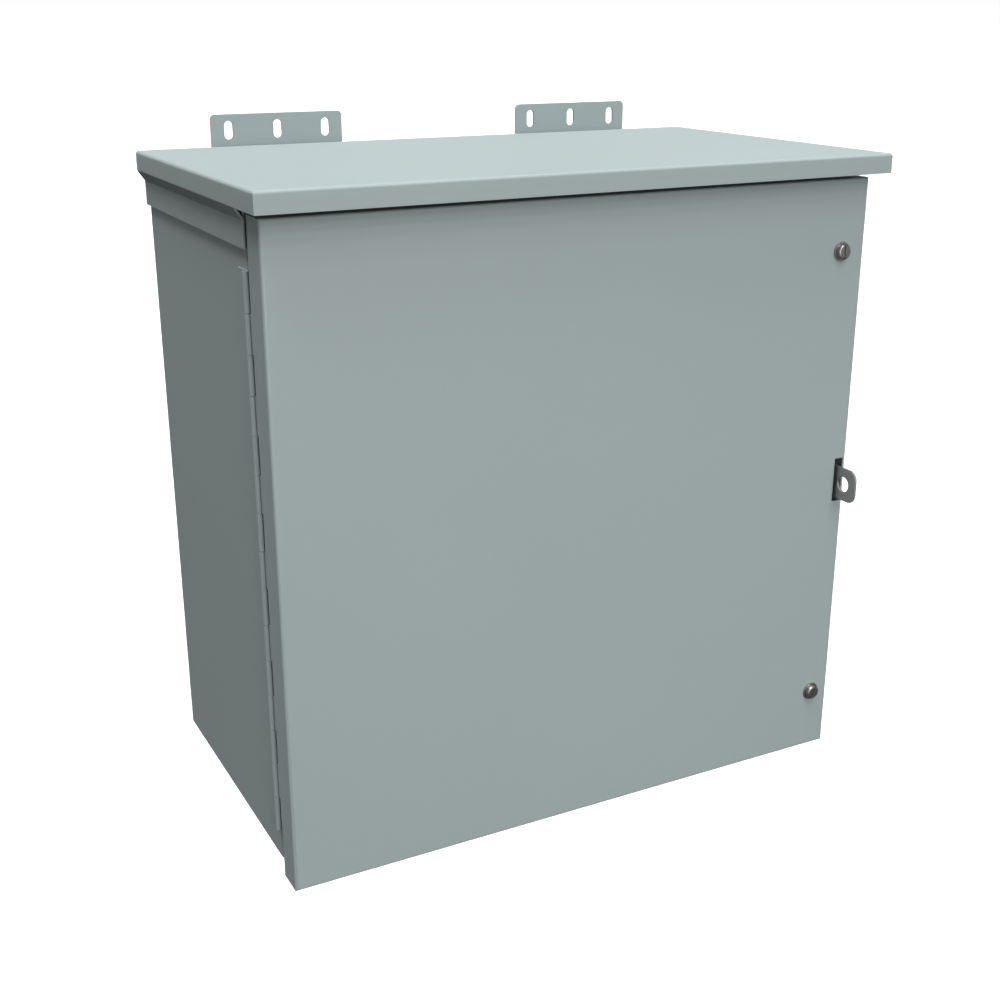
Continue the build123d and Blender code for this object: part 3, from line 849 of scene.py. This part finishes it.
def curl_tabs(leaf, edge_y, first, turn):
    """Cuts the leaf's free edge into tabs and curls them round the pin."""
    for index in range(1, KNUCKLES):
        for side in (-1, 1):
            slice_at(leaf, (0, 0, hinge_bottom + index * knuckle_pitch + side * KNUCKLE_GAP / 2), (0, 0, 1))
    pick(leaf, "EDGE", lambda e: near(middle(e).y, edge_y) and abs(run_of(e).z) > 0.9
         and in_knuckles(middle(e).z, first))
    bpy.ops.mesh.extrude_region_move(TRANSFORM_OT_translate={"value": (0, pin_y - edge_y, 0)})
    bpy.ops.mesh.spin(steps=CURL_STEPS, angle=turn, center=(pin_x, pin_y, 0), axis=(0, 0, 1))
    pick(leaf, "FACE", lambda f: True)
    bpy.ops.mesh.normals_make_consistent(inside=False)
    flats_facing_left = pick(leaf, "FACE", lambda f: f.normal.x < -0.99 and middle(f).x > pin_x)
    if flats_facing_left:
        pick(leaf, "FACE", lambda f: True)
        bpy.ops.mesh.flip_normals()
    return done(leaf)


leaf_face = pin_x + knuckle_radius
body_leaf = upright_plane("hinge_leaf_on_body", leaf_face, pin_y + LEAF_CUTBACK, leaf_high.y,
                          leaf_low.z, leaf_high.z)
curl_tabs(body_leaf, pin_y + LEAF_CUTBACK, 0, CURL)
thicken(body_leaf, LEAF_THICK)
finish(body_leaf, "cabinet", "body_paint", grey_paint, "hinge_body_leaf", deburr=FINE_DEBURR, steps=1)

door_leaf = upright_plane("hinge_leaf_on_cover", door_leaf_high.x, door_leaf_low.y, pin_y - JOGGLE_END,
                          leaf_low.z, leaf_high.z)
pick(door_leaf, "EDGE", lambda e: near(middle(e).y, pin_y - JOGGLE_END))
bpy.ops.mesh.extrude_region_move(TRANSFORM_OT_translate={
    "value": (leaf_face - door_leaf_high.x, JOGGLE_END - JOGGLE_START, 0)})
curl_tabs(door_leaf, pin_y - JOGGLE_START, 1, -CURL)
thicken(door_leaf, LEAF_THICK)
finish(door_leaf, "door", "body_paint", grey_paint, "hinge_door_leaf", deburr=FINE_DEBURR, steps=1)

# %% [markdown]
# The pin is a plain wire with its ends rounded over, so that it can't be pushed out
# and doesn't scratch.

# %% Hinge pin
PIN_END_ROUND = 0.7 * MM

bpy.ops.object.select_all(action="DESELECT")
bpy.ops.mesh.primitive_cylinder_add(
    vertices=32, radius=pin_x - pin_low.x, depth=pin_high.z - pin_low.z,
    location=(pin_x, pin_y, (pin_low.z + pin_high.z) / 2))
pin = settle(bpy.context.object)
pin.name = "hinge_wire"
pick(pin, "EDGE", lambda e: near(middle(e).z, pin_low.z) or near(middle(e).z, pin_high.z))
bpy.ops.mesh.bevel(offset=PIN_END_ROUND, segments=4, affect="EDGES")
finish(pin, "cabinet", "body_paint", grey_paint, "hinge_pin", deburr=0)

# %% [markdown]
# ## Padlock staple
#
# A plate on the body's front flange passes out through the cover. With the cover shut,
# a padlock through its hole keeps it shut. The plate is one upright plane with its
# foot extruded sideways, and its two outer corners are generously rounded.

# %% Padlock staple
STAPLE_CORNER = 10.0 * MM
PADLOCK_HOLE_RADIUS = 8.0 * MM
PADLOCK_HOLE_SETBACK = 18.0 * MM

staple = upright_plane("lock_staple", staple_low.x, staple_low.y, staple_high.y, staple_low.z, staple_high.z)
pick(staple, "EDGE", lambda e: near(middle(e).y, staple_high.y))
bpy.ops.mesh.extrude_region_move(TRANSFORM_OT_translate={"value": (staple_high.x - staple_low.x, 0, 0)})
pick(staple, "FACE", lambda f: True)
bpy.ops.mesh.flip_normals()
pick(staple, "EDGE", lambda e: near(middle(e).y, staple_high.y) and near(middle(e).x, staple_low.x))
fold(BEND)
pick(staple, "VERT", lambda v: near(v.co.y, staple_low.y))
bpy.ops.mesh.bevel(offset=STAPLE_CORNER, segments=12, affect="VERTICES")
done(staple)
thicken(staple, STAPLE_THICK)
bpy.ops.object.select_all(action="DESELECT")
bpy.ops.mesh.primitive_cylinder_add(
    vertices=64, radius=PADLOCK_HOLE_RADIUS, depth=6 * STAPLE_THICK, rotation=(0, pi / 2, 0),
    location=(staple_low.x, staple_low.y + PADLOCK_HOLE_SETBACK, (staple_low.z + staple_high.z) / 2))
cut(staple, settle(bpy.context.object))
finish(staple, "cabinet", "plated_steel", staple_zinc, "padlock_staple", deburr=THICK_DEBURR, steps=3)

# %% [markdown]
# ## Threads
#
# A bump map could fake a thread, but it fails at the outline, where a thread is most
# visible. A three-sided profile is wound up by the Screw modifier instead, which makes
# a real helix. It is wound about the upright axis, closed at both ends, and then laid
# along the screw.

# %% Thread and headed rod
ROD_SIDES = 48
THREAD_DEPTH = 0.6          # share of the pitch
THREAD_WIDTH = 0.92         # share of the pitch, at the ridge's foot
THREAD_SINK = 1.15          # the ridge's height over the thread's depth, so that it sits in the shank
TIP_CHAMFER = 0.5           # share of the pitch
TIP_TAPER = 0.75            # the tip's radius over the shank's


def thread(x, z, y0, y1, crest, pitch):
    """A helical ridge round an axis that runs front to back. Its triangle is 1.5 radii high."""
    turns = max(int((y1 - y0) / pitch) - 1, 1)
    bpy.ops.object.select_all(action="DESELECT")
    bpy.ops.mesh.primitive_circle_add(vertices=3, radius=1, rotation=(pi / 2, pi / 2, 0))
    ridge = bpy.context.object
    ridge_radius = THREAD_DEPTH * pitch * THREAD_SINK / 1.5
    ridge.scale = (THREAD_WIDTH * pitch / (2 * sin(pi / 3)), ridge_radius, 1)
    ridge.location = (crest - ridge_radius, 0, pitch / 2)
    settle(ridge)
    apply(ridge, "SCREW", angle=2 * pi, screw_offset=pitch, iterations=turns, steps=24,
          render_steps=24, axis="Z", use_smooth_shade=False)
    pick(ridge, "EDGE", lambda e: True)
    bpy.ops.mesh.fill_holes(sides=3)
    bpy.ops.mesh.select_all(action="SELECT")
    bpy.ops.mesh.normals_make_consistent(inside=False)
    done(ridge)
    ridge.rotation_euler = (-pi / 2, 0, 0)
    ridge.location = (x, y0, z)
    return settle(ridge)


def join(piece, *others):
    """Joins others into piece."""
    only(piece)
    for other in others:
        other.select_set(True)
    bpy.ops.object.join()
    return piece


def headed_rod(name, x, z, head_far, head_near, head_radius, tip, crest, pitch):
    """A head and a shank, still without its thread."""
    facing = 1 if tip > head_near else -1
    root = crest - THREAD_DEPTH * pitch
    chamfer = TIP_CHAMFER * pitch
    rod = punch(name, x, min(head_far, head_near), max(head_far, head_near), z, head_radius, ROD_SIDES)
    pick(rod, "FACE", lambda f: f.normal.y * facing > 0.9)
    bpy.ops.mesh.inset(thickness=head_radius - root)
    bpy.ops.mesh.extrude_region_move(
        TRANSFORM_OT_translate={"value": (0, tip - facing * chamfer - head_near, 0)})
    bpy.ops.mesh.extrude_region_move(TRANSFORM_OT_translate={"value": (0, facing * chamfer, 0)})
    bpy.ops.transform.resize(value=(TIP_TAPER, 1, TIP_TAPER))
    return done(rod)


def add_thread(rod, x, z, start, tip, crest, pitch):
    """Joins a thread onto the shank, from start to just short of the tip."""
    facing = 1 if tip > start else -1
    end = tip - facing * TIP_CHAMFER * pitch
    return join(rod, thread(x, z, min(start, end), max(start, end), crest, pitch))


# %% [markdown]
# ## Cover screws
#
# Each screw is a slotted pan head on a washer, and a ring behind the cover keeps it
# from falling out when it is loosened. The head's rim is rounded before the driver slot
# is cut, so that the slot runs out through the round, as it does on a real screw.

# %% Cover screws
HEAD_ROUND = 2.0 * MM
DRIVER_SLOT_WIDTH = 1.6 * MM
DRIVER_SLOT_DEPTH = 1.9 * MM
SCREW_CREST = 3.175 * MM
SCREW_PITCH = 1.27 * MM
SCREW_PLAIN = 9.0 * MM       # unthreaded shank behind the washer's front
SLOT_ANGLES = {"upper": 0.0, "lower": radians(30)}
SEAT_GAP = 0.02 * MM         # the head turns on its washer, so the two share no face
RING_GRIP = 0.3 * MM         # how far the ring bites into the thread
NUT_CLEARANCE = 0.1 * MM     # thread crest to a nut's or a small washer's bore
COLLAR_RIM = 0.25 * MM


def collar(name, x, z, y0, y1, outer, bore):
    """A washer or ring: a disc whose faces are inset, opened and bridged."""
    disc = punch(name, x, y0, y1, z, outer, ROD_SIDES)
    pick(disc, "FACE", lambda f: abs(f.normal.y) > 0.9)
    bpy.ops.mesh.inset(thickness=outer - bore, use_individual=True)
    bpy.ops.mesh.delete(type="FACE")
    pick(disc, "EDGE", lambda e: near(hypot(middle(e).x - x, middle(e).z - z), bore * cos(pi / ROD_SIDES)))
    bpy.ops.mesh.bridge_edge_loops()
    pick(disc, "FACE", lambda f: True)
    bpy.ops.mesh.normals_make_consistent(inside=False)
    done(disc)
    return apply(disc, "BEVEL", width=COLLAR_RIM, segments=3, limit_method="ANGLE", angle_limit=radians(60),
                 use_clamp_overlap=False)


for level, (x, z) in screw_axes.items():
    screw_low, screw_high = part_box(f"{level}_cover_screw")
    washer_low, washer_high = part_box(f"{level}_screw_washer")
    ring_low, ring_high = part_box(f"{level}_screw_retainer")
    steel = turned_steel(f"{level}_turned_steel", x, z)
    head_radius = (screw_high.x - screw_low.x) / 2
    screw = headed_rod(f"{level}_slotted_screw", x, z, screw_low.y, washer_low.y, head_radius,
                       screw_high.y, SCREW_CREST, SCREW_PITCH)
    pick(screw, "EDGE", lambda e: near(middle(e).y, screw_low.y))
    bpy.ops.mesh.bevel(offset=HEAD_ROUND, segments=8, affect="EDGES")
    done(screw)
    slot_tool = box_blank("driver_slot", (-DRIVER_SLOT_WIDTH / 2, -DRIVER_SLOT_DEPTH, -2 * head_radius),
                          (DRIVER_SLOT_WIDTH / 2, DRIVER_SLOT_DEPTH, 2 * head_radius))
    slot_tool.rotation_euler = (0, SLOT_ANGLES[level], 0)
    slot_tool.location = (x, screw_low.y, z)
    cut(screw, settle(slot_tool))
    add_thread(screw, x, z, washer_low.y + SCREW_PLAIN, screw_high.y, SCREW_CREST, SCREW_PITCH)
    finish(screw, f"{level}_screw", "screw_steel", steel, f"{level}_cover_screw", deburr=FINE_DEBURR)
    washer = collar(f"{level}_flat_washer", x, z, washer_low.y + SEAT_GAP, washer_high.y,
                    (washer_high.x - washer_low.x) / 2, SCREW_HOLE)
    finish(washer, f"{level}_screw_slide", "screw_steel", steel, f"{level}_screw_washer", deburr=0)
    ring = collar(f"{level}_retaining_ring", x, z, ring_low.y, ring_high.y,
                  (ring_high.x - ring_low.x) / 2, SCREW_CREST - RING_GRIP)
    finish(ring, f"{level}_screw", "screw_steel", steel, f"{level}_screw_retainer", deburr=0)

# %% [markdown]
# ## Hexagon nuts
#
# A nut's corners are chamfered on a lathe, which leaves a curved line across each flat.
# The same curve comes from keeping only what a hexagon and a round, bevelled blank
# share. The bore is punched last.

# %% Nuts
BLANK_SHARE = 1.001          # the blank's radius over the hexagon's, so that no face is shared
CHAMFER_SHARE = 1.1          # the blank's chamfer over the distance that the corners stand out


def hexagon_nut(name, x, z, y0, y1, flats, bore):
    """A chamfered hexagon nut, two of its flats facing left and right."""
    corner = flats / 2 / cos(pi / 6)
    nut = punch(name, x, y0, y1, z, corner, 6)
    blank = punch("round_blank", x, y0, y1, z, corner * BLANK_SHARE, 64)
    pick(blank, "EDGE", lambda e: near(middle(e).y, y0) or near(middle(e).y, y1))
    bpy.ops.mesh.bevel(offset=(corner - flats / 2) * CHAMFER_SHARE, segments=1, affect="EDGES")
    done(blank)
    apply(nut, "BOOLEAN", operation="INTERSECT", solver="EXACT", object=blank)
    bpy.data.objects.remove(blank)
    return cut(nut, punch("bore", x, y0 - flats, y1 + flats, z, bore, ROD_SIDES))


for level, (x, z) in screw_axes.items():
    nut_low, nut_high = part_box(f"{level}_weld_nut")
    nut = hexagon_nut(f"{level}_nut_on_lip", x, z, nut_low.y, nut_high.y, nut_high.x - nut_low.x,
                      SCREW_CREST + NUT_CLEARANCE)
    finish(nut, "cabinet", "plated_steel", hardware_zinc, f"{level}_weld_nut", deburr=FINE_DEBURR)

# %% [markdown]
# ## Inner panel and its studs
#
# Equipment is screwed to a removable panel inside. Its upright edges are turned back so
# that it stays flat, and it stands on four collar studs with washers and nuts. It is
# painted white, so that wiring is easy to see.

# %% Inner panel
PANEL_HOLE_CLEARANCE = 0.6 * MM
COLLAR_RADIUS = 8.0 * MM
STUD_CREST = 4.76 * MM
STUD_PITCH = 1.59 * MM
STUD_DEBURR = 0.15 * MM

panel_low, panel_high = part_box("inner_panel")
stud_low, stud_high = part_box("panel_studs")
stud_x, stud_z = stud_high.x - COLLAR_RADIUS, stud_high.z - COLLAR_RADIUS
stud_places = [(x, z) for x in (-stud_x, stud_x) for z in (-stud_z, stud_z)]

panel = box_blank("equipment_panel", panel_low, panel_high)
pick(panel, "FACE", lambda f: f.normal.y > 0.5 or abs(f.normal.z) > 0.5)
bpy.ops.mesh.delete(type="FACE")
pick(panel, "EDGE", lambda e: near(middle(e).y, panel_low.y) and abs(run_of(e).z) > 0.9)
fold(BEND)
done(panel)
thicken(panel, SHEET)
for x, z in stud_places:
    cut(panel, punch("stud_punch", x, panel_low.y - SHEET, panel_low.y + 3 * SHEET, z,
                     STUD_CREST + PANEL_HOLE_CLEARANCE))
finish(panel, "cabinet", "panel_paint", white_paint, "inner_panel")

# %% [markdown]
# One stud, one washer and one nut are modelled. Each is copied to the other three
# corners and joined into one set, as the four are identical and never move apart.

# %% Panel studs, washers and nuts
washer_low, washer_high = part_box("panel_washers")
nut_low, nut_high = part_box("panel_nuts")
first_x, first_z = stud_places[0]
stud = headed_rod("panel_stud_set", first_x, first_z, stud_high.y, panel_low.y + SHEET, COLLAR_RADIUS,
                  stud_low.y, STUD_CREST, STUD_PITCH)
add_thread(stud, first_x, first_z, panel_low.y, stud_low.y, STUD_CREST, STUD_PITCH)
washer = collar("panel_washer_set", first_x, first_z, washer_low.y, washer_high.y,
                washer_high.x - stud_x, STUD_CREST + PANEL_HOLE_CLEARANCE)
nut = hexagon_nut("panel_nut_set", first_x, first_z, nut_low.y, nut_high.y, 2 * (nut_high.x - stud_x),
                  STUD_CREST + NUT_CLEARANCE)
for piece, node in ((stud, "panel_studs"), (washer, "panel_washers"), (nut, "panel_nuts")):
    copies = [copy_of(piece, piece.name + "_copy", (x - first_x, 0, z - first_z))
              for x, z in stud_places[1:]]
    join(piece, *copies)
    finish(piece, "cabinet", "bare_stud", hardware_zinc, node, deburr=STUD_DEBURR, steps=1)

# %% [markdown]
# ## Earth studs
#
# The body and the cover are each earthed by a stud with a washer and a nut. The same
# functions make both sets; only the direction differs.

# %% Earth studs
EARTH_CREST = 3.175 * MM

for owner, rides, facing in (("body", "cabinet", -1), ("door", "door", 1)):
    base_low, base_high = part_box(f"{owner}_earth_stud")
    washer_low, washer_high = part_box(f"{owner}_earth_washer")
    nut_low, nut_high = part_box(f"{owner}_earth_nut")
    x, z = (base_low.x + base_high.x) / 2, (base_low.z + base_high.z) / 2
    seat, base_near, tip = (base_high.y, washer_high.y, base_low.y) if facing < 0 else \
        (base_low.y, washer_low.y, base_high.y)
    stud = headed_rod(f"{owner}_ground_stud", x, z, seat, base_near, (base_high.x - base_low.x) / 2,
                      tip, EARTH_CREST, SCREW_PITCH)
    add_thread(stud, x, z, base_near, tip, EARTH_CREST, SCREW_PITCH)
    washer = collar(f"{owner}_ground_washer", x, z, washer_low.y, washer_high.y,
                    (washer_high.x - washer_low.x) / 2, EARTH_CREST + NUT_CLEARANCE)
    nut = hexagon_nut(f"{owner}_ground_nut", x, z, nut_low.y, nut_high.y, nut_high.x - nut_low.x,
                      EARTH_CREST + NUT_CLEARANCE)
    for piece, part in ((stud, "stud"), (washer, "washer"), (nut, "nut")):
        finish(piece, rides, "bare_stud", hardware_zinc, f"{owner}_earth_{part}",
               deburr=FINE_DEBURR, steps=1)
